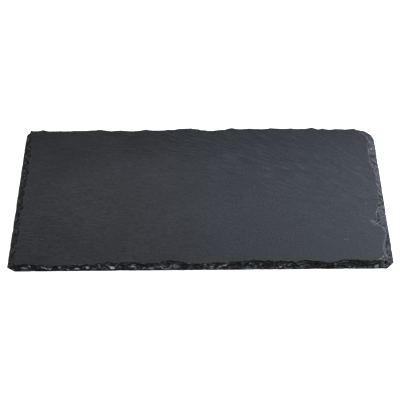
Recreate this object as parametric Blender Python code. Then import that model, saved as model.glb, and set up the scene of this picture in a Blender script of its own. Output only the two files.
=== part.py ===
"""A slate serving slab, split from one stone and dressed by hand round all four edges.

Metres, +Z up. X runs along the length and Y across it. The slab lies on Z = 0, and its box is centred
on the origin. The underside keeps the full outline. Chips struck off the upper edge have left scoops,
which run from the top face down and out to the underside, with a sharp ridge between each two. Thin
flakes have lifted off along the cleavage.
"""

import math
import random

import bmesh
import bpy
import numpy
from mathutils import Matrix, Vector

MM = 0.001
GOLDEN_ANGLE = math.pi * (3 - math.sqrt(5))

# Driving dimensions
LENGTH = 0.325
WIDTH = 0.176
THICKNESS = 0.007

# How far the top face of the blank stays inside the outline, on each side
BLANK_REACH = {"front": 0.5 * MM, "right": 4.0 * MM, "back": 2.0 * MM, "left": 3.6 * MM}

# The corners' radii, of the outline on the underside and of the blank's top face
CORNER_RADIUS = {
    "front_left": 7.5 * MM,
    "front_right": 8 * MM,
    "back_right": 13 * MM,
    "back_left": 4 * MM,
}
TOP_RADIUS = {"front_left": 3 * MM, "front_right": 4 * MM, "back_right": 19 * MM, "back_left": 4 * MM}
CORNER_STEP = math.radians(15)

# The front and back outlines wander inwards a little: millimetres along the side, and inside the box
FRONT_WANDER = (
    (-120, 0.0), (-75, 0.35), (-34, 0.55), (28, 0.4), (50, 0.8),
    (88, 0.5), (100, 0.0), (112, 0.2), (126, 0.7), (148, 0.2),
)
BACK_WANDER = ((130, 0.3), (96, 0.0), (55, 0.5), (18, 0.2), (-22, 0.5), (-70, 0.1), (-118, 0.4))

# The ridges between the chips, in millimetres along each side, and how far in the chip after each reaches
FRONT_CHIPS = (
    (-152, 2.4), (-145, 2.2), (-138, 1.4), (-129, 0.9), (-121, 0.8), (-115, 1.4), (-109, 1.0),
    (-99, 1.1), (-87, 3.3), (-74, 3.2), (-62, 3.6), (-48, 2.4), (-40, 2.7), (-31, 5.0), (-19, 3.0),
    (-12, 1.2), (-5, 0.4), (6, 2.0), (16, 2.2), (25, 4.0), (34, 4.0), (50, 2.2), (54, 4.0),
    (62, 3.5), (71, 2.9), (80, 4.2), (93, 3.2), (105, 2.0), (114, 3.8), (123, 4.4), (133, 3.4),
    (142, 3.7), (152, 2.8), (157, 0.0),
)
RIGHT_CHIPS = (
    (-80, 6.8), (-73, 8.2), (-62, 5.6), (-54, 5.0), (-47, 6.8), (-40, 9.0), (-29, 8.6), (-17, 6.2),
    (-11, 6.6), (-4, 6.2), (4, 5.8), (13, 5.2), (22, 6.6), (29, 9.4), (39, 9.2), (49, 9.4),
    (61, 7.8), (75, 0.0),
)
BACK_CHIPS = (
    (150, 5.0), (127, 5.8), (116, 5.0), (106, 4.0), (90, 4.0), (68, 4.0), (45, 3.8), (31, 4.8),
    (8, 3.0), (-14, 3.2), (-30, 4.8), (-50, 5.2), (-72, 5.0), (-91, 4.2), (-112, 4.5), (-131, 4.2),
    (-148, 4.6), (-158, 0.0),
)
LEFT_CHIPS = (
    (84, 6.0), (75, 6.6), (64, 8.2), (53, 9.0), (45, 8.8), (39, 7.6), (33, 9.2), (24, 8.6),
    (16, 8.4), (6, 7.8), (-5, 7.6), (-14, 8.8), (-23, 7.4), (-29, 6.8), (-36, 7.2), (-44, 8.2),
    (-54, 7.6), (-65, 7.8), (-76, 8.0), (-81, 0.0),
)

# The chips round each corner: degrees round from straight right, then width and reach in millimetres
CORNER_CHIPS = {
    "front_left": ((200, 8, 6.4), (230, 8, 5.0), (256, 7, 3.0)),
    "front_right": ((284, 8, 3.6), (312, 8, 5.0), (342, 8, 6.2)),
    "back_right": ((4, 11, 9.6), (27, 11, 12.0), (50, 11, 12.2), (76, 12, 9.8)),
    "back_left": ((103, 6, 4.4), (135, 6, 4.4), (166, 6, 5.2)),
}

# A chip's hollow: the radius of its curve down the edge, how wide a chip is before that radius grows with
# it, how far it may turn, how it overlaps its neighbours, how far in its ridges are beside its deepest
# place, the largest share of the curve's radius that they may reach, how far outside the outline it
# passes at the foot, and how many corners the tool that cuts it has
HOLLOW_RADIUS = (9.0 * MM, 17.0 * MM)
WIDE_CHIP = 8.0 * MM
HOLLOW_TURN = math.radians(14)
HOLLOW_OVERLAP = 1.3
RIDGE_SHARE = 0.6
STEEPEST_RIDGE = 0.94
FOOT_OUTSIDE = (-0.3 * MM, 0.7 * MM)
HOLLOW_CORNERS = 90

# Small chips that crush the ridges between the large ones
CRUSHED_HEIGHT = (0.3, 1.0)
CRUSHED_RADIUS = (2.0 * MM, 4.6 * MM)
CRUSHED_DEPTH = (0.4 * MM, 1.0 * MM)
CRUSHED_CORNERS = 34

# Flakes lifted off the top: side, millimetres along it, how far in, half the length, depth at the rim
FLAKES = (
    ("front", -79, 3.2, 5, 1.4), ("front", -62, 4.2, 7, 0.8), ("front", -19, 5.6, 10, 1.2),
    ("front", 18, 2.4, 5, 2.0), ("front", 41, 5.0, 9, 0.8), ("front", 84, 4.8, 6, 1.6),
    ("front", 122, 5.0, 9, 0.9), ("front", 146, 4.2, 6, 1.8), ("right", -71, 8.8, 9, 0.8),
    ("right", -32, 11.4, 8, 1.0), ("right", -39, 15.5, 6, 0.5), ("right", -8, 7.0, 6, 1.4),
    ("right", 12, 6.2, 8, 1.0), ("right", 37, 9.8, 8, 1.2), ("right", 56, 10.0, 10, 1.0),
    ("back", 120, 6.4, 5, 0.8), ("back", 84, 4.6, 7, 1.6), ("back", 19, 5.6, 9, 1.0),
    ("back", -40, 5.4, 6, 1.8), ("back", -60, 5.8, 11, 0.8), ("back", -108, 5.0, 8, 1.4),
    ("back", -139, 4.8, 6, 1.0), ("left", 57, 8.2, 6, 0.9), ("left", 30, 9.0, 6, 1.3),
    ("left", -16, 8.6, 6, 0.8), ("left", -50, 7.8, 7, 1.5),
)
FLAKE_WIDTH_RANGE = (5.0 * MM, 8.0 * MM)
FLAKE_SLOPE = math.radians(9)
FLAKE_CORNERS = 11

# Each side's way out and the way that its places are counted along it
SIDES = {
    "front": (Vector((0, -1, 0)), Vector((1, 0, 0))),
    "right": (Vector((1, 0, 0)), Vector((0, 1, 0))),
    "back": (Vector((0, 1, 0)), Vector((1, 0, 0))),
    "left": (Vector((-1, 0, 0)), Vector((0, 1, 0))),
}

SLATE_COLOUR = (0.042, 0.047, 0.054, 1.0)
SLATE_ROUGHNESS = 0.62


def clear_scene():
    for old in list(bpy.data.objects):
        bpy.data.objects.remove(old)


def new_collection(name):
    collection = bpy.data.collections.new(name)
    bpy.context.scene.collection.children.link(collection)
    return collection


def half_size(outward):
    return LENGTH / 2 if abs(outward.x) > 0.5 else WIDTH / 2


def corner_centre(name):
    radius = CORNER_RADIUS[name]
    x = LENGTH / 2 - radius
    y = WIDTH / 2 - radius
    return Vector((x if "right" in name else -x, y if "back" in name else -y, 0))


def heading(angle):
    return Vector((math.cos(angle), math.sin(angle), 0))


def corner_stations(name, first_angle, side_before, side_after):
    """The blank's points round one corner, on the underside and on the top."""
    radius = CORNER_RADIUS[name]
    top_radius = TOP_RADIUS[name]
    ways = (SIDES[side_before][0], SIDES[side_after][0])
    reaches = (BLANK_REACH[side_before], BLANK_REACH[side_after])
    top_centre = Vector((0, 0, THICKNESS))
    for way, reach in zip(ways, reaches):
        top_centre += way * (half_size(way) - reach - top_radius)
    for i in range(round(math.radians(90) / CORNER_STEP) + 1):
        outward = heading(first_angle + i * CORNER_STEP)
        yield corner_centre(name) + outward * radius, top_centre + outward * top_radius


def wander_stations(side, wander):
    outward = SIDES[side][0]
    up = Vector((0, 0, THICKNESS))
    for along, inset in wander:
        foot = Vector((along * MM, 0, 0)) + outward * (WIDTH / 2 - inset * MM)
        yield foot, foot - outward * BLANK_REACH[side] + up


def outline_stations():
    """The whole blank, anticlockwise from the front left corner."""
    yield from corner_stations("front_left", math.radians(180), "left", "front")
    yield from wander_stations("front", FRONT_WANDER)
    yield from corner_stations("front_right", math.radians(270), "front", "right")
    yield from corner_stations("back_right", 0.0, "right", "back")
    yield from wander_stations("back", BACK_WANDER)
    yield from corner_stations("back_left", math.radians(90), "back", "left")


def make_blank(collection):
    """The stone before it is chipped: a loft from the outline on the underside to a smaller top face."""
    stations = list(outline_stations())
    bm = bmesh.new()
    lower = [bm.verts.new(foot) for foot, rim in stations]
    upper = [bm.verts.new(rim) for foot, rim in stations]
    bm.faces.new(list(reversed(lower)))
    bm.faces.new(upper)
    for i in range(len(stations)):
        after = (i + 1) % len(stations)
        bm.faces.new((lower[i], lower[after], upper[after], upper[i]))
    mesh = bpy.data.meshes.new("slab")
    bm.to_mesh(mesh)
    bm.free()
    slab = bpy.data.objects.new("slab", mesh)
    collection.objects.link(slab)
    return slab


def add_cutter(bm, name, matrix, collection):
    """Places a unit shape as a cutter, and hides it from the model."""
    bmesh.ops.transform(bm, matrix=matrix, verts=bm.verts)
    mesh = bpy.data.meshes.new(name)
    bm.to_mesh(mesh)
    bm.free()
    cutter = bpy.data.objects.new(name, mesh)
    cutter.hide_render = True
    cutter.display_type = "WIRE"
    collection.objects.link(cutter)


def unit_lump(rng, corners):
    """A convex lump with uneven facets: the hull of points spread over a unit sphere."""
    bm = bmesh.new()
    for i in range(corners):
        height = 1 - (2 * i + 1) / corners
        ring = math.sqrt(1 - height * height)
        angle = i * GOLDEN_ANGLE + rng.uniform(-0.3, 0.3)
        lift = height + rng.uniform(-0.06, 0.06)
        bm.verts.new(Vector((ring * math.cos(angle), ring * math.sin(angle), lift)).normalized())
    bmesh.ops.convex_hull(bm, input=bm.verts)
    bmesh.ops.recalc_face_normals(bm, faces=bm.faces)
    return bm


def carve(rng, name, centre, turn, radii, corners, collection):
    """Cuts a hollow the shape of a lump, which is spun at random before it is stretched to its radii."""
    axis = Vector((rng.uniform(-1, 1), rng.uniform(-1, 1), rng.uniform(-1, 1))).normalized()
    spin = Matrix.Rotation(rng.uniform(0, math.pi), 4, axis)
    stretch = Matrix.Diagonal((*radii, 1.0))
    turned = Matrix.Rotation(turn, 4, "Z")
    matrix = Matrix.Translation(centre) @ turned @ stretch @ spin
    add_cutter(unit_lump(rng, corners), name, matrix, collection)


def chip(rng, foot, outward, width, reach, collection):
    """One chip: a hollow from the top face, reach inside the outline, down to the foot of the edge."""
    outside = rng.uniform(*FOOT_OUTSIDE)
    run = reach + outside
    radius = rng.uniform(*HOLLOW_RADIUS) * max(1.0, run / WIDE_CHIP)
    chord = math.hypot(run, THICKNESS)
    rise = math.sqrt(radius ** 2 - (chord / 2) ** 2)
    centre_out = (outside - reach) / 2 + rise * THICKNESS / chord
    centre_up = THICKNESS / 2 + rise * run / chord
    rim = centre_out + reach
    ridge = min((centre_out + RIDGE_SHARE * reach) / rim, STEEPEST_RIDGE)
    along_radius = HOLLOW_OVERLAP * width / 2 / math.sqrt(1 - ridge ** 2) * radius / rim
    centre = foot + outward * centre_out + Vector((0, 0, centre_up))
    turn = math.atan2(outward.y, outward.x) + rng.uniform(-HOLLOW_TURN, HOLLOW_TURN)
    carve(rng, "chip", centre, turn, (radius, along_radius, radius), HOLLOW_CORNERS, collection)


def inset_at(side, along):
    """How far the outline wanders inside the box at a place along a side, in metres."""
    wander = {"front": FRONT_WANDER, "back": tuple(reversed(BACK_WANDER))}.get(side)
    if wander is None:
        return 0.0
    places = [place * MM for place, inset in wander]
    insets = [inset * MM for place, inset in wander]
    return float(numpy.interp(along, places, insets))


def side_foot(side, place):
    """A point on the foot of a side's sloping edge."""
    outward, along = SIDES[side]
    return outward * (half_size(outward) - inset_at(side, place)) + along * place


def chip_side(rng, side, chips, collection):
    for (start, reach), (end, _) in zip(chips, chips[1:]):
        foot = side_foot(side, (start + end) / 2 * MM)
        chip(rng, foot, SIDES[side][0], abs(end - start) * MM, reach * MM, collection)


def chip_corners(rng, collection):
    for name, chips in CORNER_CHIPS.items():
        for degrees, width, reach in chips:
            outward = heading(math.radians(degrees))
            foot = corner_centre(name) + outward * CORNER_RADIUS[name]
            chip(rng, foot, outward, width * MM, reach * MM, collection)


def crush_ridges(rng, side, chips, collection):
    """A few small hollows on each ridge between two chips."""
    outward = SIDES[side][0]
    for (before, reach), (place, next_reach) in zip(chips, chips[1:-1]):
        ridge = RIDGE_SHARE * (reach + next_reach) / 2 * MM
        slope = (Vector((0, 0, ridge)) + outward * THICKNESS).normalized()
        shift = abs(place - before) / 3
        for _ in range(rng.choice((1, 2, 3))):
            radius = rng.uniform(*CRUSHED_RADIUS)
            up = rng.uniform(*CRUSHED_HEIGHT)
            face = side_foot(side, (place + rng.uniform(-shift, shift)) * MM) - outward * ridge * up
            face.z = THICKNESS * up
            centre = face + slope * (radius - rng.uniform(*CRUSHED_DEPTH))
            turn = math.atan2(outward.y, outward.x) + rng.uniform(-0.6, 0.6)
            radii = (radius, radius * rng.uniform(1.0, 1.7), radius)
            carve(rng, "small_chip", centre, turn, radii, CRUSHED_CORNERS, collection)


def lift_flake(rng, side, place, reach, half_length, depth, collection):
    """A flake off the top: a many-sided disc, whose floor starts at its depth and slopes outwards."""
    outward, along = SIDES[side]
    width = rng.uniform(*FLAKE_WIDTH_RANGE)
    bm = bmesh.new()
    bmesh.ops.create_cone(bm, cap_ends=True, segments=FLAKE_CORNERS, radius1=0.9, radius2=1.0, depth=1.0)
    bmesh.ops.translate(bm, vec=(0, 0, 0.5), verts=bm.verts)
    for corner in bm.verts:
        corner.co.xy *= rng.uniform(0.88, 1.08)
    centre = side_foot(side, place * MM) + outward * (width - reach * MM)
    centre.z = THICKNESS - depth * MM - width * math.sin(FLAKE_SLOPE)
    stretch = Matrix.Diagonal((width, half_length * MM, THICKNESS, 1.0))
    turn = Matrix.Rotation(math.atan2(outward.y, outward.x) + rng.uniform(-0.2, 0.2), 4, "Z")
    slope = Matrix.Rotation(FLAKE_SLOPE, 4, "Y")
    add_cutter(bm, "flake", Matrix.Translation(centre) @ turn @ slope @ stretch, collection)


def slate_material():
    material = bpy.data.materials.new("slate")
    material.use_nodes = True
    shader = material.node_tree.nodes["Principled BSDF"]
    shader.inputs["Base Color"].default_value = SLATE_COLOUR
    shader.inputs["Roughness"].default_value = SLATE_ROUGHNESS
    shader.inputs["Metallic"].default_value = 0.0
    return material


def main():
    clear_scene()
    stone = new_collection("slate_slab")
    chips = new_collection("chips")
    slab = make_blank(stone)
    rng = random.Random(41)
    side_chips = {"front": FRONT_CHIPS, "right": RIGHT_CHIPS, "back": BACK_CHIPS, "left": LEFT_CHIPS}
    for side, places in side_chips.items():
        chip_side(rng, side, places, chips)
        crush_ridges(rng, side, places, chips)
    chip_corners(rng, chips)
    for side, place, reach, half_length, depth in FLAKES:
        lift_flake(rng, side, place, reach, half_length, depth, chips)
    cut = slab.modifiers.new("chips", "BOOLEAN")
    cut.operation = "DIFFERENCE"
    cut.operand_type = "COLLECTION"
    cut.collection = chips
    cut.solver = "EXACT"
    slab.data.materials.append(slate_material())


main()
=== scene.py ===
import math
import random

import bpy
import numpy as np
from mathutils import Matrix, Vector, noise
from mathutils.bvhtree import BVHTree
from mathutils.geometry import delaunay_2d_cdt


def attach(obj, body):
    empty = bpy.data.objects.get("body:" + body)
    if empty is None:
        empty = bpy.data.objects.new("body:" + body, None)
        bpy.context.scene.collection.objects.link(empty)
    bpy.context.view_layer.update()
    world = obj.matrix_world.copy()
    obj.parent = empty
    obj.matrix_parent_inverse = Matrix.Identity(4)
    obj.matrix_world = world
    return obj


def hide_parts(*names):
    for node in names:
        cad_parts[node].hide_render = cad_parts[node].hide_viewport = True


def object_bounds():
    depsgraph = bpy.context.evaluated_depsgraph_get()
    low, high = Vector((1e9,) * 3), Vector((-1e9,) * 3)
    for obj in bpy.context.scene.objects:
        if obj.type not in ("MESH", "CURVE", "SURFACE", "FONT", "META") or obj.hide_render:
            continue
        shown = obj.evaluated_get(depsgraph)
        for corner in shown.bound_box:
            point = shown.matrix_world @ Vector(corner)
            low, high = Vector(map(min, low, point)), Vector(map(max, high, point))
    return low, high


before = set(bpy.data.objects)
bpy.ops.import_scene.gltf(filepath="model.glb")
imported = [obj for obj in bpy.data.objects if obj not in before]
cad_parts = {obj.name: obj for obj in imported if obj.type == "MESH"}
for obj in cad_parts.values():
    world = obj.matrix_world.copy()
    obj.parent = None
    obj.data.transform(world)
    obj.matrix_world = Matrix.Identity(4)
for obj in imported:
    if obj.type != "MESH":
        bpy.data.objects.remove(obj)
cad_low, cad_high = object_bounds()

MM = 0.001
THICKNESS = cad_high.z

# The rim of the fine mesh is a fan of columns, which start from a path inside the slab and end on its surface
FAN_INSET = 18 * MM
FAN_CORNER = 6 * MM
FAN_HEIGHT = 0.3 * MM
COLUMN_STEP = 0.45 * MM

# How far below the top and above the underside the edge's ends are looked for, how many rays find its
# profile, and how many rings of points follow it. Then how many more rings lie on the top face, how far in
# they go, and over how many columns each way the innermost one is smoothed
SKIN = 0.04 * MM
EDGE_CASTS = 44
EDGE_RINGS = 25
TOP_RINGS = 3
TOP_REACH = 1.6 * MM
SMOOTH_COLUMNS = 6

# The loose grid of points on the top and on the underside: its steps, how far apart its rows are beside a
# step, how far a point is moved, and how wide a strip beside the outline stays free
TOP_STEP = 1.5 * MM
UNDER_STEP = 5.0 * MM
ROW_SHARE = 0.866
SHAKE = 0.22
FREE_SHARE = 0.75

# Edges of the mesh that are bent more than this are sharp
SHARP_ANGLE = math.radians(32)

# Scars of small flakes struck off the edge: how many, their widths, and how deep one is beside its width.
# Then, for all of them, how high the middle is beside the thickness, how tall beside the width, and the lean
WIDE_SCARS = (300, (2.2 * MM, 6.0 * MM), 0.15)
SMALL_SCARS = (1100, (0.7 * MM, 2.0 * MM), 0.20)
SCAR_MIDDLE = (-0.1, 1.1)
SCAR_TALL = (0.45, 1.0)
SCAR_LEAN = (-0.8, 0.8)

# The cleavage sheets that break back on their own: thickness, the length of a broken piece, how far back it
# is at most, the power that makes most of them shallow, their slant, and how far sheets wander up and down
SHEET_THICKNESS = (0.45 * MM, 1.25 * MM)
SHEET_PIECE = (1.2 * MM, 9.0 * MM)
SHEET_BREAK = 1.0 * MM
SHEET_SHALLOW = 1.6
SHEET_SLANT = 0.12
SHEET_WARP = 0.5 * MM

# All the breaks together: the depth that leaves the surface where it was, the largest depth, the grit, the
# share left at the foot, and the shares taken off at the back edge's rim and at every rim
TYPICAL_DEPTH = 0.55 * MM
LARGEST_DEPTH = 2.4 * MM
GRIT_SCALE = 1100
GRIT_DEPTH = 0.10 * MM
FOOT_SHARE = 0.30
CALM_BACK = 0.55
CALM_RIM = 0.35

# The relief of the riven top, in millimetres: its swells, its ripples and the steps between sheets, with how
# many steps there are each way, and the depth of the underside's swells
SWELL_DEPTH = 0.09
RIPPLE_DEPTH = 0.05
STEP_DEPTH = 0.035
STEP_RANGE = 3
UNDER_DEPTH = 0.14 * MM

# How far a column's way out has to point to the side for it to belong to the side edge, from not at all to
# wholly: at the front corners and at the back ones. Then how level the stone is where a break ends, and how
# far a worn ridge stands out
SIDE_FROM_FRONT = (0.90, 0.99)
SIDE_FROM_BACK = (0.45, 0.85)
LEVEL = (0.80, 0.95)
RIDGE_STAND = 0.07 * MM

# Crushed, paler places on the front edge, in millimetres: along it, height, length, thickness, then the
# slant in degrees and the strength
FRONT_MARKS = (
    (-147, 2.7, 6.5, 1.3, -5, 1.1), (-142.6, 4.7, 3.0, 1.0, -45, 0.8), (-130, 3.6, 8.0, 1.1, -22, 1.3),
    (-126, 2.4, 3.4, 2.0, 0, 1.6), (-117.5, 4.6, 3.0, 2.0, 0, 0.8), (-111, 1.8, 2.6, 1.2, -40, 0.9),
    (-103, 2.2, 5.0, 1.1, -8, 0.9), (-94.3, 3.4, 3.0, 2.6, 0, 1.1), (-87.5, 2.0, 3.0, 1.0, 10, 0.6),
    (-73.7, 2.5, 3.8, 1.6, 0, 1.1), (-77.5, 3.8, 5.0, 1.0, -25, 0.6), (-70.5, 3.8, 4.5, 1.0, 30, 0.6),
    (-57, 3.0, 7.0, 0.9, -4, 0.7), (-47.3, 2.2, 2.6, 1.5, 20, 0.7), (-40.6, 2.2, 6.0, 2.0, 0, 0.6),
    (-33, 2.8, 4.5, 2.0, 0, 0.5), (-21, 3.2, 3.6, 2.6, 0, 0.5), (-8.5, 2.0, 3.0, 1.4, 0, 0.5),
    (-2, 3.4, 3.0, 1.0, -15, 0.7), (4, 4.8, 2.6, 0.9, 0, 0.8), (9.5, 2.6, 3.4, 2.8, 0, 0.8),
    (16, 2.4, 7.0, 1.4, 20, 0.8), (21, 4.2, 4.4, 1.0, -5, 1.0), (41.4, 3.8, 1.8, 1.0, 0, 0.7),
    (46, 1.0, 1.8, 0.8, 0, 0.7), (50.6, 3.8, 4.0, 2.0, 0, 0.45), (67, 2.0, 3.0, 1.0, 0, 0.8),
    (82, 3.8, 5.0, 1.5, 0, 0.35), (104.5, 3.0, 2.4, 2.0, 35, 0.45), (113.6, 1.6, 6.0, 0.8, 0, 0.45),
    (125, 1.3, 2.2, 1.0, 0, 0.4), (137.7, 1.3, 2.2, 0.8, 0, 0.4), (147.5, 2.0, 4.0, 1.6, 0, 0.8),
    (153.5, 2.6, 2.4, 1.2, 40, 0.7),
)

# Places on the front edge painted black as the shade in its hollows, over its black stone, given as the marks
# are
FRONT_DARKS = (
    (-153, 3.5, 9.0, 6.0, 0, 0.8), (-121, 3.5, 4.5, 6.0, 0, 0.9), (-101, 4.5, 8.0, 4.0, 0, 0.8),
    (-63, 4.0, 8.0, 6.0, 0, 0.8), (-27.5, 4.0, 4.5, 6.0, 0, 0.8), (-18, 5.5, 17.0, 2.6, -12, 0.9),
    (-13, 2.2, 6.0, 3.0, 0, 0.8), (34, 4.2, 18.0, 4.5, 0, 0.8), (56, 3.0, 9.0, 5.0, 0, 0.7),
    (96, 3.2, 10.0, 5.0, 0, 0.8), (110, 1.2, 10.0, 2.0, 0, 0.9), (131, 3.5, 26.0, 5.0, 0, 0.7),
)

# Crushed places at random on the other edges: how many, then in millimetres the length, height and thickness,
# the slant in radians, the strength, and how much fainter they are on the left edge
LOOSE_MARKS = 170
LOOSE_LENGTH = (1.2, 6.0)
LOOSE_HEIGHT = (0.5, 6.0)
LOOSE_THICKNESS = (0.5, 1.6)
LOOSE_SLANT = (-0.7, 0.7)
LOOSE_POWER = (0.2, 0.8)
FAINT_LEFT = 0.7

# Painted highlights, pale lines along the right edge's rim and its front corner, seen from above, in
# millimetres: width, strength, then the points that it joins
RIGHT_RIM_HIGHLIGHTS = (
    (1.1, 0.7, ((158.8, -44.0), (157.0, -47.8), (158.8, -53.1), (157.3, -58.7), (155.2, -66.1))),
    (1.1, 0.8, ((155.2, -66.1), (154.4, -69.8), (154.2, -74.3), (155.6, -78.2), (156.8, -84.0))),
    (1.2, 0.7, ((155.6, -78.2), (151.8, -82.0), (149.4, -83.0))),
    (2.4, 0.9, ((157.6, 43.5), (159.6, 41.8))),
    (1.3, 0.6, ((159.3, 29.0), (159.6, 22.2))),
    (1.3, 0.7, ((158.1, 10.0), (158.9, 3.6))),
    (1.2, 0.6, ((158.9, 0.0), (159.8, -4.0))),
    (1.0, 0.35, ((143.5, 79.6), (150.0, 76.6), (154.6, 71.0))),
    (1.2, 0.7, ((151.0, -86.6), (153.4, -85.2))),
    (1.8, 0.8, ((146.2, -87.6), (148.2, -87.4))),
    (1.2, 0.6, ((153.0, -87.6), (155.4, -86.8))),
)
# Places along the right edge and its front corner painted black as the shade in its notches, given as the
# lines above are
RIGHT_DARKS = (
    (1.7, 1.0, ((157.4, 48.2), (160.8, 48.9))),
    (1.6, 0.9, ((159.8, 40.4), (161.0, 38.8))),
    (1.8, 0.9, ((160.3, -57.0), (160.9, -63.6))),
    (1.5, 0.8, ((160.2, -44.6), (160.4, -47.0))),
    (1.4, 0.8, ((160.2, -51.0), (159.8, -54.4))),
    (1.4, 0.7, ((158.6, -60.4), (158.0, -63.0))),
    (1.5, 0.8, ((161.0, -70.8), (161.3, -75.4))),
    (2.6, 1.0, ((152.8, -84.6), (158.6, -83.8))),
)

# The ridges between the chips along the left edge, in millimetres, and the slanting line of each one, with
# the dark tooth behind it, painted as shade: from and to, beside the ridge's own place, then width and
# strength
LEFT_RIDGES = (84, 75, 64, 53, 45, 39, 33, 24, 16, 6, -5, -14, -23, -29, -36, -44, -54, -65, -76)
LEFT_LIGHT = ((-161.5, -2.6), (-154.5, 2.4), 1.4, 0.7)
LEFT_TOOTH = ((-158.5, 2.2), (-154.6, 5.4), 2.6, 0.85)

# A dark pit and light specks on the top face, in millimetres: place and radius
PIT = (-135.4, 68.5, 1.2)
SPECKS = ((122.9, -60.1, 0.7), (125.5, -60.1, 0.6), (145.1, -16.2, 0.7))

# Pale veins round a flake at the right, as lines on the top face in millimetres
VEINS = (
    ((160.8, -26.5), (157.4, -31.0), (155.8, -36.0), (152.7, -39.5)),
    ((146.5, -37.4), (152.7, -39.5), (155.6, -43.0), (158.2, -47.5)),
    ((149.7, -83.8), (157.4, -85.6)),
)

# The front corners are cut off nearly straight: where the cut starts and ends on the outline, in millimetres
FRONT_CORNERS = (((-162.5, -83.4), (-155.4, -88.0)), ((156.2, -87.8), (162.5, -81.2)))

# How far the grain has bent at the right end, halfway up the width, and how far in front of there the bend
# would be gone
GRAIN_BEND = 125 * MM
GRAIN_SPREAD = 120 * MM

# The photograph's camera, fitted to the slab's four corners in its 400 x 400 frame
CAMERA_AZIMUTH = math.radians(0.25)
CAMERA_ELEVATION = math.radians(44.1)
CAMERA_ROLL = math.radians(-0.66)
CAMERA_DISTANCE = 1.076
CAMERA_TARGET = Vector((-0.0001, -0.0036, 0.0))
CAMERA_LENS = 109.29

FLOOR_REACH = 30.0
FLOOR_GAP = 0.05 * MM


def smooth_step(low, high, value):
    share = np.clip((value - low) / (high - low), 0.0, 1.0)
    return share * share * (3 - 2 * share)


def heading(angle):
    return Vector((math.cos(angle), math.sin(angle), 0))


def fan_columns():
    """Each column's start and way out, anticlockwise from the front edge's left end."""
    columns = []
    for side in range(4):
        angle = math.radians(90 * side - 90)
        outward = heading(angle)
        along = heading(angle + math.pi / 2)
        out, half = (cad_high.y, cad_high.x) if side % 2 == 0 else (cad_high.x, cad_high.y)
        out -= FAN_INSET
        half -= FAN_INSET + FAN_CORNER
        steps = round(2 * half / COLUMN_STEP)
        for i in range(steps):
            columns.append((outward * out + along * half * (2 * i / steps - 1), outward))
        centre = outward * (out - FAN_CORNER) + along * half
        steps = round((FAN_INSET + FAN_CORNER) * math.pi / 2 / COLUMN_STEP)
        for i in range(steps):
            way = heading(angle + math.pi / 2 * i / steps)
            columns.append((centre + way * FAN_CORNER, way))
    return columns


def cad_tree():
    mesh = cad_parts["slab"].data
    points = [v.co.copy() for v in mesh.vertices]
    faces = [tuple(p.vertices) for p in mesh.polygons]
    return BVHTree.FromPolygons(points, faces)


def surface_out(tree, start, way, height):
    """The solid's surface straight out from a start, just inside the top or the underside."""
    return tree.ray_cast(Vector((start.x, start.y, height)), way)[0]


def cast_edge(tree, columns):
    """The dressed edge of the CAD solid, as an array of column, ring and coordinate, from foot to rim."""
    grid = np.zeros((len(columns), EDGE_RINGS, 3))
    shares = np.linspace(0, 1, EDGE_RINGS)
    for i, (start, way) in enumerate(columns):
        foot = surface_out(tree, start, way, SKIN)
        rim = surface_out(tree, start, way, THICKNESS - SKIN)
        origin = start + Vector((0, 0, FAN_HEIGHT))
        profile = [foot]
        for share in np.linspace(0.02, 0.98, EDGE_CASTS):
            profile.append(tree.ray_cast(origin, foot.lerp(rim, share) - origin)[0])
        profile = np.array([tuple(p) for p in profile + [rim]])
        walked = np.linalg.norm(np.diff(profile, axis=0), axis=1).cumsum()
        walked = np.concatenate([[0.0], walked])
        for axis in range(3):
            grid[i, :, axis] = np.interp(shares * walked[-1], walked, profile[:, axis])
    return grid


def cut_corners(grid, columns):
    """Gives the foot of the two front corners their straight cut, and leaves their rim where it is."""
    for start_cut, end_cut in FRONT_CORNERS:
        a = np.array(start_cut) * MM
        b = np.array(end_cut) * MM
        normal = np.array((b[1] - a[1], a[0] - b[0])) / np.linalg.norm(b - a)
        for i, (start, way) in enumerate(columns):
            if way.x * normal[0] + way.y * normal[1] > 0.5:
                to_cut = normal.dot(a - np.array(start.xy)) / normal.dot(np.array(way.xy))
                sides = ((cad_high.x, start.x, way.x), (cad_high.y, start.y, way.y))
                to_side = min((half - abs(at)) / abs(part) for half, at, part in sides if abs(part) > 1e-6)
                shift = min(to_cut, to_side) - math.dist(grid[i, 0, :2], start.xy)
                share = 1 - np.clip(grid[i, :, 2] / THICKNESS, 0, 1)
                grid[i, :, :2] += np.array(way.xy)[None, :] * (shift * share)[:, None]


def gap_round(along, place, total):
    """Signed distance along the rim from a place, the shorter way round."""
    return (along - place + total / 2) % total - total / 2


def scars(rng, along, total, height, number, widths, depth_share):
    """Overlapping scars of struck-off flakes: the deepest counts, so a sharp ridge stands between two."""
    depth = np.zeros_like(height)
    for _ in range(number):
        place = rng.uniform(0, total)
        up = rng.uniform(*SCAR_MIDDLE) * THICKNESS
        width = rng.uniform(*widths)
        tall = width * rng.uniform(*SCAR_TALL)
        lean = rng.uniform(*SCAR_LEAN)
        gap = gap_round(along, place, total)
        near = np.flatnonzero(np.abs(gap) < width + tall)
        rise = height[near] - up
        across = gap[near, None] - rise * lean
        share = 1 - (across / width) ** 2 - (rise / tall) ** 2
        depth[near] = np.maximum(depth[near], share * depth_share * width)
    return depth


def broken_line(rng, along, total):
    """How far back one sheet has broken: straight pieces of uneven length, most of them not far back."""
    back = np.zeros_like(along)
    place = 0.0
    while place < total:
        length = rng.uniform(*SHEET_PIECE)
        near = (along >= place) & (along < place + length)
        deep = rng.random() ** SHEET_SHALLOW * SHEET_BREAK
        slant = rng.uniform(-SHEET_SLANT, SHEET_SLANT)
        back[near] = deep + slant * (along[near] - place - length / 2)
        place += length
    return back


def wander(along, scale, seed):
    """Smooth noise along the rim, one value for each column."""
    return np.array([noise.noise(Vector((a * scale, seed, 0))) for a in along])[:, None]


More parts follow.
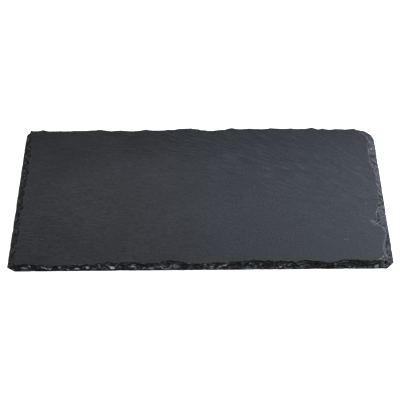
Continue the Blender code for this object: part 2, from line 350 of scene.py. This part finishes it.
def sheet_ledges(rng, along, total, height, lean):
    """The cleavage sheets' ends: each has an upright face and a ledge above it, broken back in pieces."""
    shown = 0.25 + 0.75 * smooth_step(-0.15, 0.2, wander(along, 55, 8.8))
    level = height + wander(along, 40, 3.3) * SHEET_WARP
    depth = np.zeros_like(height)
    low = -1.0 * MM
    while low < THICKNESS + 1.0 * MM:
        high = low + rng.uniform(*SHEET_THICKNESS)
        within = (level >= low) & (level < high)
        upright = lean[:, None] * (high - level)
        back = broken_line(rng, along, total)[:, None]
        depth = np.where(within, (upright + back) * shown, depth)
        low = high
    return depth


def break_edge(grid, columns):
    """Moves the edge's points along their fans, to give it the fine breaks that the solid leaves out."""
    steps = np.linalg.norm(np.roll(grid[:, 0, :2], -1, axis=0) - grid[:, 0, :2], axis=1)
    along = steps.cumsum() - steps[0]
    total = steps.sum()
    height = grid[:, :, 2]
    lean = np.linalg.norm(grid[:, 0, :2] - grid[:, -1, :2], axis=1) / THICKNESS
    rng = random.Random(11)
    depth = scars(rng, along, total, height, *WIDE_SCARS)
    depth += scars(rng, along, total, height, *SMALL_SCARS)
    depth += sheet_ledges(rng, along, total, height, lean)
    grit = [noise.fractal(Vector(p) * GRIT_SCALE, 1.0, 2.0, 2) for p in grid.reshape(-1, 3)]
    depth += np.array(grit).reshape(height.shape) * GRIT_DEPTH
    depth = np.minimum(depth, LARGEST_DEPTH) - TYPICAL_DEPTH
    share = FOOT_SHARE + (1 - FOOT_SHARE) * smooth_step(0.1 * MM, 1.3 * MM, height)
    depth = np.where(depth < 0, depth * smooth_step(0.2 * MM, 2.0 * MM, height), depth * share)
    depth *= 1 - CALM_RIM * smooth_step(THICKNESS - 0.9 * MM, THICKNESS, height)
    to_back = smooth_step(0.5, 0.9, np.array([way.y for start, way in columns]))[:, None]
    depth *= 1 - CALM_BACK * to_back * smooth_step(THICKNESS - 3.0 * MM, THICKNESS, height)
    starts = np.array([tuple(start) for start, way in columns])[:, None, :]
    inward = starts + np.array((0, 0, FAN_HEIGHT)) - grid
    inward[:, -1, 2] = 0
    inward /= np.linalg.norm(inward, axis=2, keepdims=True)
    broken = np.clip(grid + inward * depth[:, :, None], tuple(cad_low), tuple(cad_high))
    broken[:, 0, 2] = 0.0
    broken[:, -1, 2] = THICKNESS
    return broken, along


def grain_across(x, y):
    """Distance across the stone's grain, which runs along X at the left and slants down at the back right."""
    share = (x - cad_low.x) / (cad_high.x - cad_low.x)
    return y + GRAIN_BEND * share ** 3 * (1 + y / GRAIN_SPREAD)


def top_relief(x, y):
    """How far the riven top lies below its highest places."""
    across = grain_across(x, y)
    swell = noise.noise(Vector((x * 14, y * 20, 3.1))) * 0.5 + 0.5
    ripple = noise.noise(Vector((x * 45, across * 210, 7.7))) * 0.5 + 0.5
    sheet = noise.noise(Vector((x * 22, across * 42, 11.3))) * STEP_RANGE
    step = math.floor(sheet) + smooth_step(0.86, 1.0, sheet - math.floor(sheet))
    return (SWELL_DEPTH * swell + RIPPLE_DEPTH * ripple + STEP_DEPTH * (step + STEP_RANGE) / 2) * MM


def top_height(x, y):
    return THICKNESS - top_relief(x, y)


def add_top_rings(edge, columns):
    """Adds rings on the top face, from the broken rim in to a smoother line."""
    count = len(columns)
    reach = [math.dist(edge[i, -1, :2], start.xy) for i, (start, way) in enumerate(columns)]
    window = range(-SMOOTH_COLUMNS, SMOOTH_COLUMNS + 1)
    inner = [min(reach[(i + k) % count] for k in window) - TOP_REACH for i in range(count)]
    inner = [sum(inner[(i + k) % count] for k in window) / len(window) for i in range(count)]
    rings = np.zeros((count, TOP_RINGS, 3))
    for i, (start, way) in enumerate(columns):
        for k in range(TOP_RINGS):
            at = start + way * (reach[i] + (inner[i] - reach[i]) * (k + 1) / TOP_RINGS)
            rings[i, k] = (at.x, at.y, top_height(at.x, at.y))
        edge[i, -1, 2] -= top_relief(edge[i, -1, 0], edge[i, -1, 1])
    return np.concatenate([edge, rings], axis=1)


def grid_normals(grid):
    """The way out of the stone at each point, and how far the point stands out from its neighbours."""
    before = np.roll(grid, 1, axis=0)
    after = np.roll(grid, -1, axis=0)
    up = np.concatenate([grid[:, 1:], grid[:, -1:]], axis=1)
    down = np.concatenate([grid[:, :1], grid[:, :-1]], axis=1)
    normal = np.cross(after - before, up - down)
    normal /= np.linalg.norm(normal, axis=2, keepdims=True) + 1e-12
    stand = ((grid - (before + after + up + down) / 4) * normal).sum(axis=2)
    return normal, stand


def side_share(columns, sign):
    """How far each column belongs to the right edge, or to the left one where sign is -1."""
    shares = []
    for start, way in columns:
        limits = SIDE_FROM_FRONT if way.y < 0 else SIDE_FROM_BACK
        shares.append(smooth_step(*limits, sign * way.x))
    return np.array(shares)[:, None]


def mark_share(gap, rise, length, thick, slant):
    """How strong a mark is at each place: 1 over most of its slanted oval, and 0 a little outside it."""
    ahead = gap * math.cos(slant) + rise * math.sin(slant)
    aside = rise * math.cos(slant) - gap * math.sin(slant)
    share = 1 - (ahead / (length / 2)) ** 2 - (aside / (thick / 2)) ** 2
    return np.clip(share * 1.5 + 0.5, 0, 1)


def front_marks(grid, columns, marks):
    """The chosen marks of the front edge."""
    strength = np.zeros(grid.shape[:2])
    near = np.array([way.y < -0.6 for start, way in columns])
    for place, up, length, thick, slant, power in marks:
        gap = grid[near, :, 0] - place * MM
        rise = grid[near, :, 2] - up * MM
        share = mark_share(gap, rise, length * MM, thick * MM, math.radians(slant))
        strength[near] = np.maximum(strength[near], share * power)
    return strength


def scattered_marks(grid, columns, along):
    """Crushed places at random on the right, back and left edges."""
    strength = np.zeros(grid.shape[:2])
    sideways = np.array([way.y > -0.8 for start, way in columns])
    rng = random.Random(23)
    for _ in range(LOOSE_MARKS):
        length = rng.uniform(*LOOSE_LENGTH) * MM
        place = rng.uniform(0, along[-1])
        up = rng.uniform(*LOOSE_HEIGHT) * MM
        thick = rng.uniform(*LOOSE_THICKNESS) * MM
        slant = rng.uniform(*LOOSE_SLANT)
        power = rng.uniform(*LOOSE_POWER)
        near = sideways & (np.abs(along - place) < length)
        gap = np.broadcast_to((along - place)[near, None], (near.sum(), grid.shape[1]))
        share = mark_share(gap, grid[near, :, 2] - up, length, thick, slant)
        strength[near] = np.maximum(strength[near], share * power)
    return strength * (1 - FAINT_LEFT * side_share(columns, -1))


def line_marks(grid, lines):
    """How strongly lines drawn from above show on the stone: half at a line's edge, 0 a little outside."""
    strength = np.zeros(grid.shape[:2])
    plan = grid[:, :, :2]
    for width, power, points in lines:
        for start, end in zip(points, points[1:]):
            start = np.array(start) * MM
            run = np.array(end) * MM - start
            share = np.clip(((plan - start) * run).sum(axis=2) / run.dot(run), 0, 1)
            gap = np.linalg.norm(plan - start - share[:, :, None] * run, axis=2)
            shown = np.clip(1.5 - gap / (width * MM / 2), 0, 1)
            strength = np.maximum(strength, shown * power)
    return strength


def left_lines(line):
    """The same slanting line at each of the left edge's ridges."""
    (x1, y1), (x2, y2), width, power = line
    return [(width, power, ((x1, y + y1), (x2, y + y2))) for y in LEFT_RIDGES]


def inside(points, outline):
    """Which points lie inside a closed outline."""
    result = np.zeros(len(points), bool)
    x, y = points[:, 0], points[:, 1]
    for a, b in zip(outline, np.roll(outline, -1, axis=0)):
        crosses = (a[1] > y) != (b[1] > y)
        if crosses.any():
            at = a[0] + (y - a[1]) / (b[1] - a[1] + 1e-30) * (b[0] - a[0])
            result ^= crosses & (x < at)
    return result


def fill(outline, step, rng):
    """Triangles that fill an outline, over its own points and a loose grid of new ones."""
    low = outline.min(axis=0)
    high = outline.max(axis=0)
    rows = int((high[1] - low[1]) / (step * ROW_SHARE))
    made = []
    for row in range(rows + 1):
        y = low[1] + row * step * ROW_SHARE
        x = low[0] + (row % 2) * step / 2
        while x < high[0]:
            made.append((x + rng.uniform(-SHAKE, SHAKE) * step, y + rng.uniform(-SHAKE, SHAKE) * step))
            x += step
    made = np.array(made)
    made = made[inside(made, outline)]
    cell = step * FREE_SHARE
    taken = set()
    for x, y in outline:
        for dx in (-1, 0, 1):
            for dy in (-1, 0, 1):
                taken.add((math.floor(x / cell) + dx, math.floor(y / cell) + dy))
    made = [(x, y) for x, y in made if (math.floor(x / cell), math.floor(y / cell)) not in taken]
    points = [Vector(p) for p in outline] + [Vector(p) for p in made]
    edges = [(i, (i + 1) % len(outline)) for i in range(len(outline))]
    found, _, faces, _, _, _ = delaunay_2d_cdt(points, edges, [], 1, 1e-9)
    return [tuple(p) for p in found], [tuple(f) for f in faces]


def add_fill(points, faces, ring, outline, step, rng, height_at, flip):
    """Closes a ring of the mesh with a filled sheet, whose new points take their height from height_at."""
    flat, triangles = fill(outline, step, rng)
    base = len(points)
    count = len(outline)
    place = {}
    for i, (x, y) in enumerate(flat):
        if i < count:
            place[i] = ring[i]
        else:
            place[i] = base + i - count
            points.append((x, y, height_at(x, y)))
    for triangle in triangles:
        corners = [place[k] for k in triangle]
        faces.append(tuple(reversed(corners)) if flip else tuple(corners))


def under_height(x, y):
    """The underside is riven too, and touches the ground on its high places."""
    swell = noise.noise(Vector((x * 25, y * 30, 21.0))) + 0.4 * noise.noise(Vector((x * 90, y * 90, 4.0)))
    return max(0.0, UNDER_DEPTH * swell)


def stone_marks(grid, columns, along):
    """What each point of the grid carries for the material: 0 for none of it, and about 1 for all of it."""
    normal, stand = grid_normals(grid)
    count, rings = grid.shape[:2]
    on_edge = (np.arange(rings) < EDGE_RINGS)[None, :]
    crushed = np.maximum(front_marks(grid, columns, FRONT_MARKS), scattered_marks(grid, columns, along))
    hollow_shade = np.maximum(front_marks(grid, columns, FRONT_DARKS), line_marks(grid, left_lines(LEFT_TOOTH)))
    return {
        "broken": on_edge * (1 - smooth_step(*LEVEL, normal[:, :, 2])),
        "ridge": on_edge * np.clip(stand / RIDGE_STAND, 0, 1),
        "crushed": on_edge * crushed,
        "hollow_shade": on_edge * hollow_shade,
        "notch_shade": on_edge * line_marks(grid, RIGHT_DARKS),
        "painted_rim_highlight": line_marks(grid, RIGHT_RIM_HIGHLIGHTS),
        "left_ridge": on_edge * line_marks(grid, left_lines(LEFT_LIGHT)),
        "rim": np.broadcast_to(np.arange(rings) == EDGE_RINGS - 1, (count, rings)) * 1.0,
        "right_side": on_edge * side_share(columns, 1),
    }


def stone_mesh():
    """The fine mesh's points and faces, and the marks that each point carries."""
    columns = fan_columns()
    solid = cast_edge(cad_tree(), columns)
    cut_corners(solid, columns)
    edge, along = break_edge(solid, columns)
    grid = add_top_rings(edge, columns)
    count, rings = grid.shape[:2]
    points = [tuple(p) for p in grid.reshape(-1, 3)]
    faces = []
    for i in range(count):
        after = (i + 1) % count
        for j in range(rings - 1):
            faces.append((i * rings + j, after * rings + j, after * rings + j + 1, i * rings + j + 1))
    rng = random.Random(5)
    top = [i * rings + rings - 1 for i in range(count)]
    add_fill(points, faces, top, grid[:, -1, :2], TOP_STEP, rng, top_height, False)
    foot = [i * rings for i in range(count)]
    add_fill(points, faces, foot, grid[:, 0, :2], UNDER_STEP, rng, under_height, True)
    layers = {}
    for name, numbers in stone_marks(grid, columns, along).items():
        layers[name] = np.zeros(len(points))
        layers[name][: count * rings] = numbers.reshape(-1)
    layers["grain_across"] = np.array([grain_across(p[0], p[1]) for p in points])
    return points, faces, layers


def make_stone():
    points, faces, layers = stone_mesh()
    mesh = bpy.data.meshes.new("slate_stone")
    mesh.from_pydata(points, [], faces)
    for name, numbers in layers.items():
        layer = mesh.attributes.new(name, "FLOAT", "POINT")
        layer.data.foreach_set("value", numbers.astype(np.float32))
    mesh.validate()
    mesh.update()
    mesh.shade_smooth()
    mesh.set_sharp_from_angle(angle=SHARP_ANGLE)
    stone = bpy.data.objects.new("slate_stone", mesh)
    bpy.context.scene.collection.objects.link(stone)
    return stone


class Shading:
    """Makes and links the nodes of one material."""

    def __init__(self, name):
        self.material = bpy.data.materials.new(name)
        self.material.use_nodes = True
        self.tree = self.material.node_tree
        self.shader = self.tree.nodes["Principled BSDF"]

    def node(self, kind, **settings):
        made = self.tree.nodes.new(kind)
        for key, value in settings.items():
            setattr(made, key, value)
        return made

    def put(self, value, socket):
        if isinstance(value, bpy.types.NodeSocket):
            self.tree.links.new(value, socket)
        else:
            socket.default_value = value

    def math(self, operation, first, second):
        made = self.node("ShaderNodeMath", operation=operation)
        self.put(first, made.inputs[0])
        self.put(second, made.inputs[1])
        return made.outputs[0]

    def add(self, *terms):
        total = terms[0]
        for term in terms[1:]:
            total = self.math("ADD", total, term)
        return total

    def times(self, first, second):
        return self.math("MULTIPLY", first, second)

    def spread(self, value, low, high, to_low=0.0, to_high=1.0):
        made = self.node("ShaderNodeMapRange", interpolation_type="SMOOTHSTEP")
        for socket, number in zip(made.inputs, (value, low, high, to_low, to_high)):
            self.put(number, socket)
        return made.outputs[0]

    def attribute(self, name):
        return self.node("ShaderNodeAttribute", attribute_name=name).outputs["Fac"]

    def noise(self, vector, scale, detail=3.0, roughness=0.55):
        made = self.node("ShaderNodeTexNoise")
        self.put(vector, made.inputs["Vector"])
        made.inputs["Scale"].default_value = scale
        made.inputs["Detail"].default_value = detail
        made.inputs["Roughness"].default_value = roughness
        return made.outputs["Fac"]

    def voronoi(self, vector, scale, output, feature="F1"):
        made = self.node("ShaderNodeTexVoronoi", feature=feature)
        self.put(vector, made.inputs["Vector"])
        made.inputs["Scale"].default_value = scale
        return made.outputs[output]

    def vector(self, x, y, z):
        made = self.node("ShaderNodeCombineXYZ")
        for socket, value in zip(made.inputs, (x, y, z)):
            self.put(value, socket)
        return made.outputs[0]

    def vector_math(self, operation, first, second):
        made = self.node("ShaderNodeVectorMath", operation=operation)
        self.put(first, made.inputs[0])
        self.put(second, made.inputs[1])
        return made.outputs["Value" if operation in ("DISTANCE", "DOT_PRODUCT") else "Vector"]

    def blend(self, factor, first, second):
        """A mix of two numbers."""
        return self.add(first, self.times(factor, self.math("SUBTRACT", second, first)))

    def distance(self, first, second):
        return self.vector_math("DISTANCE", first, second)

    def mix(self, factor, first, second):
        made = self.node("ShaderNodeMix", data_type="RGBA")
        self.put(factor, made.inputs[0])
        self.put(first, made.inputs[6])
        self.put(second, made.inputs[7])
        return made.outputs[2]

    def tint(self, factor, colour, paint):
        made = self.node("ShaderNodeMix", data_type="RGBA", blend_type="MULTIPLY")
        self.put(factor, made.inputs[0])
        self.put(colour, made.inputs[6])
        self.put(paint, made.inputs[7])
        return made.outputs[2]

    def bump(self, height, strength, distance):
        made = self.node("ShaderNodeBump")
        made.inputs["Strength"].default_value = strength
        made.inputs["Distance"].default_value = distance
        self.put(height, made.inputs["Height"])
        return made.outputs["Normal"]


# Linear colours of the stone
TOP_DARK = (0.0258, 0.0258, 0.0270, 1.0)
TOP_LIGHT = (0.0524, 0.0524, 0.0542, 1.0)
# Black that the top is mixed towards at its back and front, as painted shade
TOP_SHADE = (0.0, 0.0, 0.0, 1.0)
LEFT_TINT = (1.0, 0.965, 0.93, 1.0)
TOP_STREAK = (0.105, 0.108, 0.112, 1.0)
TOP_PIT = (0.010, 0.011, 0.012, 1.0)
TOP_SPECK = (0.20, 0.21, 0.22, 1.0)
# Black of the broken stone, made darker than the stone as painted shade; also the black of gaps and the
# painted shade of hollows and notches
BREAK_DARK = (0.0022, 0.0034, 0.0056, 1.0)
BREAK_GREY = (0.056, 0.062, 0.072, 1.0)
# The right edge's colours: paler than the other edges' partly for crushed stone and partly as painted light,
# for the side that faces the lamps
RIGHT_DARK = (0.014, 0.015, 0.016, 1.0)
RIGHT_GREY = (0.094, 0.095, 0.095, 1.0)
RIGHT_PALE = (0.25, 0.245, 0.23, 1.0)
CRUSHED = (0.38, 0.40, 0.41, 1.0)
FRESH = (0.68, 0.70, 0.71, 1.0)


class Slate(Shading):
    """The slab's one material: the riven top and underside, and the broken edge."""

    def __init__(self):
        super().__init__("slate")
        self.where = self.node("ShaderNodeTexCoord").outputs["Object"]
        split = self.node("ShaderNodeSeparateXYZ")
        self.put(self.where, split.inputs[0])
        self.x, self.y, self.z = split.outputs
        self.across = self.attribute("grain_across")
        self.broken = self.attribute("broken")
        self.right = self.attribute("right_side")
        self.to_back_right = self.spread(self.add(self.x, self.times(self.y, 1.6)), -0.02, 0.15)
        self.to_right = self.spread(self.x, -0.05, 0.12)
        self.streaks = self.along_grain(55.0, 800.0, 0.0)
        self.dashes = self.along_grain(210.0, 1000.0, 5.0)
        self.flecks = self.along_grain(620.0, 1050.0, 2.0)
        self.clouds = self.noise(self.where, 22.0, 3.0)
        self.sheets = self.noise(self.scaled(200.0, 200.0, 900.0), 1.0, 3.0, 0.6)
        self.ragged = self.noise(self.scaled(900.0, 900.0, 1500.0), 1.0, 4.0, 0.68)
        self.shards = self.noise(self.scaled(1000.0, 1000.0, 2000.0), 1.0, 2.0)
        self.grit = self.noise(self.where, 2400.0, 2.0)
        rough = self.noise(self.scaled(520.0, 520.0, 1400.0), 1.0, 2.0)
        self.rough_edge = self.times(self.add(rough, -0.5), 1.3)

    def scaled(self, x, y, z):
        return self.vector(self.times(self.x, x), self.times(self.y, y), self.times(self.z, z))

    def along_grain(self, along, across, seed):
        """Noise drawn out along the grain: how many of its cells there are in a metre each way."""
        place = self.vector(self.times(self.x, along), self.times(self.across, across), seed)
        return self.noise(place, 1.0, 2.0)

    def top_tone(self):
        """The grain: streaks, dashes and, towards the right, finer flecks, in rough and calm patches."""
        dashes = self.times(self.add(self.dashes, -0.5), self.blend(self.to_right, 0.55, 0.35))
        streaks = self.times(self.add(self.streaks, -0.5), self.blend(self.to_back_right, 0.30, 1.2))
        flecks = self.times(self.add(self.flecks, -0.5), self.blend(self.to_right, 0.35, 2.4))
        to_front = self.spread(self.y, 0.03, -0.03, 0.95, 1.75)
        contrast = self.add(to_front, self.times(self.to_back_right, 0.35))
        patch = self.spread(self.noise(self.where, 45.0, 2.0), 0.38, 0.62, 0.65, 1.4)
        return self.times(self.times(self.add(dashes, streaks, flecks), contrast), patch)

    def painted_light_pool(self):
        """Painted light: the top is painted a shade paler round its middle, like a pool of lamplight."""
        from_middle = self.vector(self.add(self.x, 0.030), self.times(self.add(self.y, 0.008), 2.0), 0.0)
        near = self.distance(from_middle, (0.0, 0.0, 0.0))
        return self.times(self.spread(near, 0.14, 0.03), 0.042)

    def top_colour(self):
        """The top: grain, sparse light and dark threads, specks, a pit, painted shade towards its back and
        front, and the veins.
        """
        clouds = self.times(self.add(self.clouds, -0.5), 0.12)
        tone = self.add(self.top_tone(), clouds, self.painted_light_pool(), 0.5)
        colour = self.mix(self.spread(tone, 0.36, 0.64), TOP_DARK, TOP_LIGHT)
        colour = self.tint(self.spread(self.x, 0.06, -0.06), colour, LEFT_TINT)
        threads = self.along_grain(60.0, 1250.0, 9.0)
        share = self.add(self.times(self.to_back_right, 0.75), 0.15)
        colour = self.mix(self.times(self.spread(threads, 0.60, 0.66), share), colour, TOP_STREAK)
        colour = self.mix(self.times(self.spread(threads, 0.42, 0.34), share), colour, TOP_PIT)
        speck = self.spread(self.voronoi(self.where, 330.0, "Distance"), 0.10, 0.04)
        rare = self.spread(self.noise(self.where, 300.0, 0.0), 0.66, 0.74)
        colour = self.mix(self.times(speck, rare), colour, TOP_SPECK)
        for x, y, radius in SPECKS:
            colour = self.spot(colour, x, y, radius, TOP_SPECK)
        colour = self.spot(colour, *PIT, TOP_PIT)
        # Painted shade: the top is darkened towards its back and front, where the lamps' light falls off.
        back = self.spread(self.y, 0.020, 0.086, 0.0, 0.34)
        front = self.spread(self.y, -0.020, -0.090, 0.0, 0.17)
        colour = self.mix(self.add(back, front), colour, TOP_SHADE)
        veins = self.times(self.veins(), self.spread(self.ragged, 0.38, 0.56, 0.2))
        return self.mix(veins, colour, RIGHT_PALE)

    def spot(self, colour, x, y, radius, paint):
        """A small mark on the top face."""
        gap = self.distance(self.where, (x * MM, y * MM, THICKNESS))
        return self.mix(self.spread(gap, radius * MM, radius * 0.4 * MM), colour, paint)

    def veins(self):
        """How strongly the pale veins show, which wander a little off their lines."""
        sway_x = self.times(self.add(self.noise(self.where, 210.0, 2.0), -0.5), 3.0 * MM)
        sway_y = self.times(self.add(self.noise(self.where, 170.0, 2.0), -0.5), 3.0 * MM)
        place = self.vector(self.add(self.x, sway_x), self.add(self.y, sway_y), 0.0)
        strength = 0.0
        for line in VEINS:
            for start, end in zip(line, line[1:]):
                gap = self.distance_to_line(place, Vector((*start, 0)) * MM, Vector((*end, 0)) * MM)
                strength = self.math("MAXIMUM", self.spread(gap, 0.75 * MM, 0.2 * MM), strength)
        return strength

    def distance_to_line(self, place, start, end):
        run = end - start
        from_start = self.vector_math("SUBTRACT", place, start)
        share = self.vector_math("DOT_PRODUCT", from_start, run / run.length_squared)
        share = self.math("MAXIMUM", self.math("MINIMUM", share, 1.0), 0.0)
        nearest = self.vector(self.times(share, run.x), self.times(share, run.y), 0.0)
        return self.distance(from_start, nearest)

    def seams(self):
        """Thin ridges between shards, which show here and there on the broken edge."""
        sway = self.times(self.noise(self.where, 420.0, 3.0), 3.0)
        x = self.add(self.times(self.x, 260.0), sway)
        y = self.add(self.times(self.y, 260.0), sway)
        place = self.vector(x, y, self.times(self.z, 520.0))
        line = self.spread(self.voronoi(place, 1.0, "Distance", "DISTANCE_TO_EDGE"), 0.14, 0.03)
        return self.times(line, self.spread(self.noise(self.where, 260.0, 2.0), 0.50, 0.60))

    def right_break(self):
        """The right edge, in greys with pale shards and black gaps: partly crumbling stone, and partly
        painted light, as the side that faces the lamps is painted paler.
        """
        patches = self.noise(self.where, 330.0, 4.0, 0.62)
        sheets = self.noise(self.scaled(150.0, 150.0, 1500.0), 1.0, 3.0, 0.6)
        grain = self.weighted((patches, 0.4), (sheets, 0.3), (self.ragged, 0.3))
        colour = self.mix(self.spread(grain, 0.46, 0.54), RIGHT_DARK, RIGHT_GREY)
        colour = self.mix(self.spread(self.shards, 0.54, 0.60), colour, RIGHT_PALE)
        return self.mix(self.spread(patches, 0.46, 0.41), colour, BREAK_DARK)

    def dark_break(self):
        """The black breaks of the other three edges, fresh black stone made darker still as painted shade,
        with grey sheets' ends and splinters.
        """
        colour = self.mix(self.spread(self.sheets, 0.54, 0.58), BREAK_DARK, BREAK_GREY)
        splinters = self.noise(self.scaled(290.0, 290.0, 1000.0), 1.0, 2.0)
        colour = self.mix(self.spread(splinters, 0.60, 0.64, 0.0, 0.6), colour, CRUSHED)
        # Painted shade: the hollows of the front edge and the teeth of the left one are painted black
        hollows = self.add(self.attribute("hollow_shade"), self.rough_edge)
        colour = self.mix(self.spread(hollows, 0.45, 0.6), colour, BREAK_DARK)
        ridges = self.add(self.attribute("left_ridge"), self.rough_edge)
        return self.mix(self.spread(ridges, 0.35, 0.75, 0.0, 0.22), colour, CRUSHED)

    def break_colour(self):
        """The edge's breaks, with seams and ridges rubbed pale, crushed places, and notches painted black as
        shade; all of it paler on the right edge, partly as painted light.
        """
        # The right edge takes paler colours, partly for crushed stone and partly as painted light on the side
        # that faces the lamps.
        colour = self.mix(self.right, self.dark_break(), self.right_break())
        wear_and_light = self.mix(self.right, CRUSHED, RIGHT_PALE)
        colour = self.mix(self.times(self.seams(), self.blend(self.right, 0.05, 0.35)), colour, wear_and_light)
        wear = self.add(self.attribute("ridge"), self.times(self.ragged, 1.6))
        colour = self.mix(self.spread(wear, 1.4, 1.9, 0.0, 0.35), colour, wear_and_light)
        marks = self.add(self.attribute("crushed"), self.rough_edge)
        colour = self.mix(self.spread(marks, 0.42, 0.56), colour, wear_and_light)
        colour = self.mix(self.spread(marks, 0.86, 1.0), colour, FRESH)
        # Painted shade: the notches of the right edge are painted black over everything else
        notches = self.add(self.attribute("notch_shade"), self.rough_edge)
        return self.mix(self.spread(notches, 0.4, 0.6), colour, BREAK_DARK)

    def colour(self):
        """Top and breaks together, with painted highlights: pale lines along the right edge's rim, where the
        lamps catch it.
        """
        colour = self.mix(self.broken, self.top_colour(), self.break_colour())
        # Painted highlight: a pale line, broken here and there, along the rim of the right edge that faces
        # the lamps
        wear_and_light = self.spread(self.noise(self.where, 190.0, 3.0), 0.42, 0.56)
        rim_line = self.times(self.attribute("rim"), wear_and_light)
        colour = self.mix(self.times(rim_line, self.right), colour, RIGHT_PALE)
        # Painted highlights along the right edge's rim and front corner, from the listed lines
        lines = self.add(self.attribute("painted_rim_highlight"), self.rough_edge)
        return self.mix(self.spread(lines, 0.35, 0.75, 0.0, 0.85), colour, RIGHT_PALE)

    def weighted(self, *pairs):
        return self.add(*(self.times(value, weight) for value, weight in pairs))

    def relief(self):
        """The fine relief of the bump: the grain on the top, and splinters on the breaks."""
        flat = self.math("SUBTRACT", 1.0, self.broken)
        top = self.weighted((self.streaks, 0.9), (self.dashes, 0.7), (self.flecks, 0.5), (self.grit, 0.2))
        edge = self.weighted((self.ragged, 1.1), (self.sheets, 0.8), (self.grit, 0.3))
        return self.weighted((top, flat), (edge, self.broken))

    def build(self):
        inputs = self.shader.inputs
        self.put(self.colour(), inputs["Base Color"])
        rough_top = self.spread(self.clouds, 0.3, 0.7, 0.54, 0.62)
        self.put(self.add(rough_top, self.times(self.broken, 0.08)), inputs["Roughness"])
        self.put(self.bump(self.relief(), 0.8, 0.16 * MM), inputs["Normal"])
        return self.material


def add_camera():
    back = Vector((
        math.sin(CAMERA_AZIMUTH) * math.cos(CAMERA_ELEVATION),
        -math.cos(CAMERA_AZIMUTH) * math.cos(CAMERA_ELEVATION),
        math.sin(CAMERA_ELEVATION),
    ))
    right = Vector((0, 0, 1)).cross(back).normalized()
    up = back.cross(right)
    turned_right = math.cos(CAMERA_ROLL) * right + math.sin(CAMERA_ROLL) * up
    turned_up = math.cos(CAMERA_ROLL) * up - math.sin(CAMERA_ROLL) * right
    data = bpy.data.cameras.new("camera")
    data.sensor_width = 36.0
    data.lens = CAMERA_LENS
    data.clip_start = 0.01
    camera = bpy.data.objects.new("camera", data)
    axes = Matrix((turned_right, turned_up, back)).transposed().to_4x4()
    camera.matrix_world = Matrix.Translation(CAMERA_TARGET + back * CAMERA_DISTANCE) @ axes
    bpy.context.scene.collection.objects.link(camera)
    bpy.context.scene.camera = camera


def add_light(name, azimuth, elevation, distance, size, power, colour=(1.0, 1.0, 1.0)):
    """A square soft light that looks at the slab's middle."""
    azimuth = math.radians(azimuth)
    elevation = math.radians(elevation)
    data = bpy.data.lights.new(name, "AREA")
    data.size = size
    data.energy = power
    data.color = colour
    light = bpy.data.objects.new(name, data)
    towards = heading(azimuth) * math.cos(elevation) + Vector((0, 0, math.sin(elevation)))
    light.location = towards * distance
    light.rotation_euler = (-light.location).to_track_quat("-Z", "Y").to_euler()
    bpy.context.scene.collection.objects.link(light)


def add_floor():
    """A pale floor, lit so evenly that it stays white and shows no shadow."""
    mesh = bpy.data.meshes.new("floor")
    corners = [(x * FLOOR_REACH, y * FLOOR_REACH, 0) for x, y in ((-1, -1), (1, -1), (1, 1), (-1, 1))]
    mesh.from_pydata(corners, [], [(0, 1, 2, 3)])
    floor = bpy.data.objects.new("floor", mesh)
    floor.location.z = -FLOOR_GAP
    paint = Shading("floor")
    paint.shader.inputs["Base Color"].default_value = (0.86, 0.86, 0.86, 1.0)
    paint.shader.inputs["Roughness"].default_value = 0.9
    paint.shader.inputs["Emission Color"].default_value = (1.0, 1.0, 1.0, 1.0)
    paint.shader.inputs["Emission Strength"].default_value = 1.0
    mesh.materials.append(paint.material)
    bpy.context.scene.collection.objects.link(floor)
    floor.visible_diffuse = False
    floor.visible_glossy = False


def add_surroundings():
    """Three soft lights and an even, weak sky."""
    add_light("key", azimuth=25, elevation=45, distance=0.9, size=0.5, power=6.8, colour=(0.87, 1.0, 1.22))
    add_light("front_fill", azimuth=270, elevation=50, distance=0.9, size=0.5, power=2.1)
    add_light("left_fill", azimuth=180, elevation=25, distance=1.6, size=0.8, power=3.0)
    world = bpy.data.worlds.new("studio")
    world.use_nodes = True
    background = world.node_tree.nodes["Background"]
    background.inputs["Color"].default_value = (1.0, 1.0, 1.0, 1.0)
    background.inputs["Strength"].default_value = 0.089
    bpy.context.scene.world = world
    bpy.context.scene.view_settings.view_transform = "Standard"


add_camera()
stone = make_stone()
stone.data.materials.append(Slate().build())
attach(stone, "root")
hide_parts("slab")
add_floor()
add_surroundings()
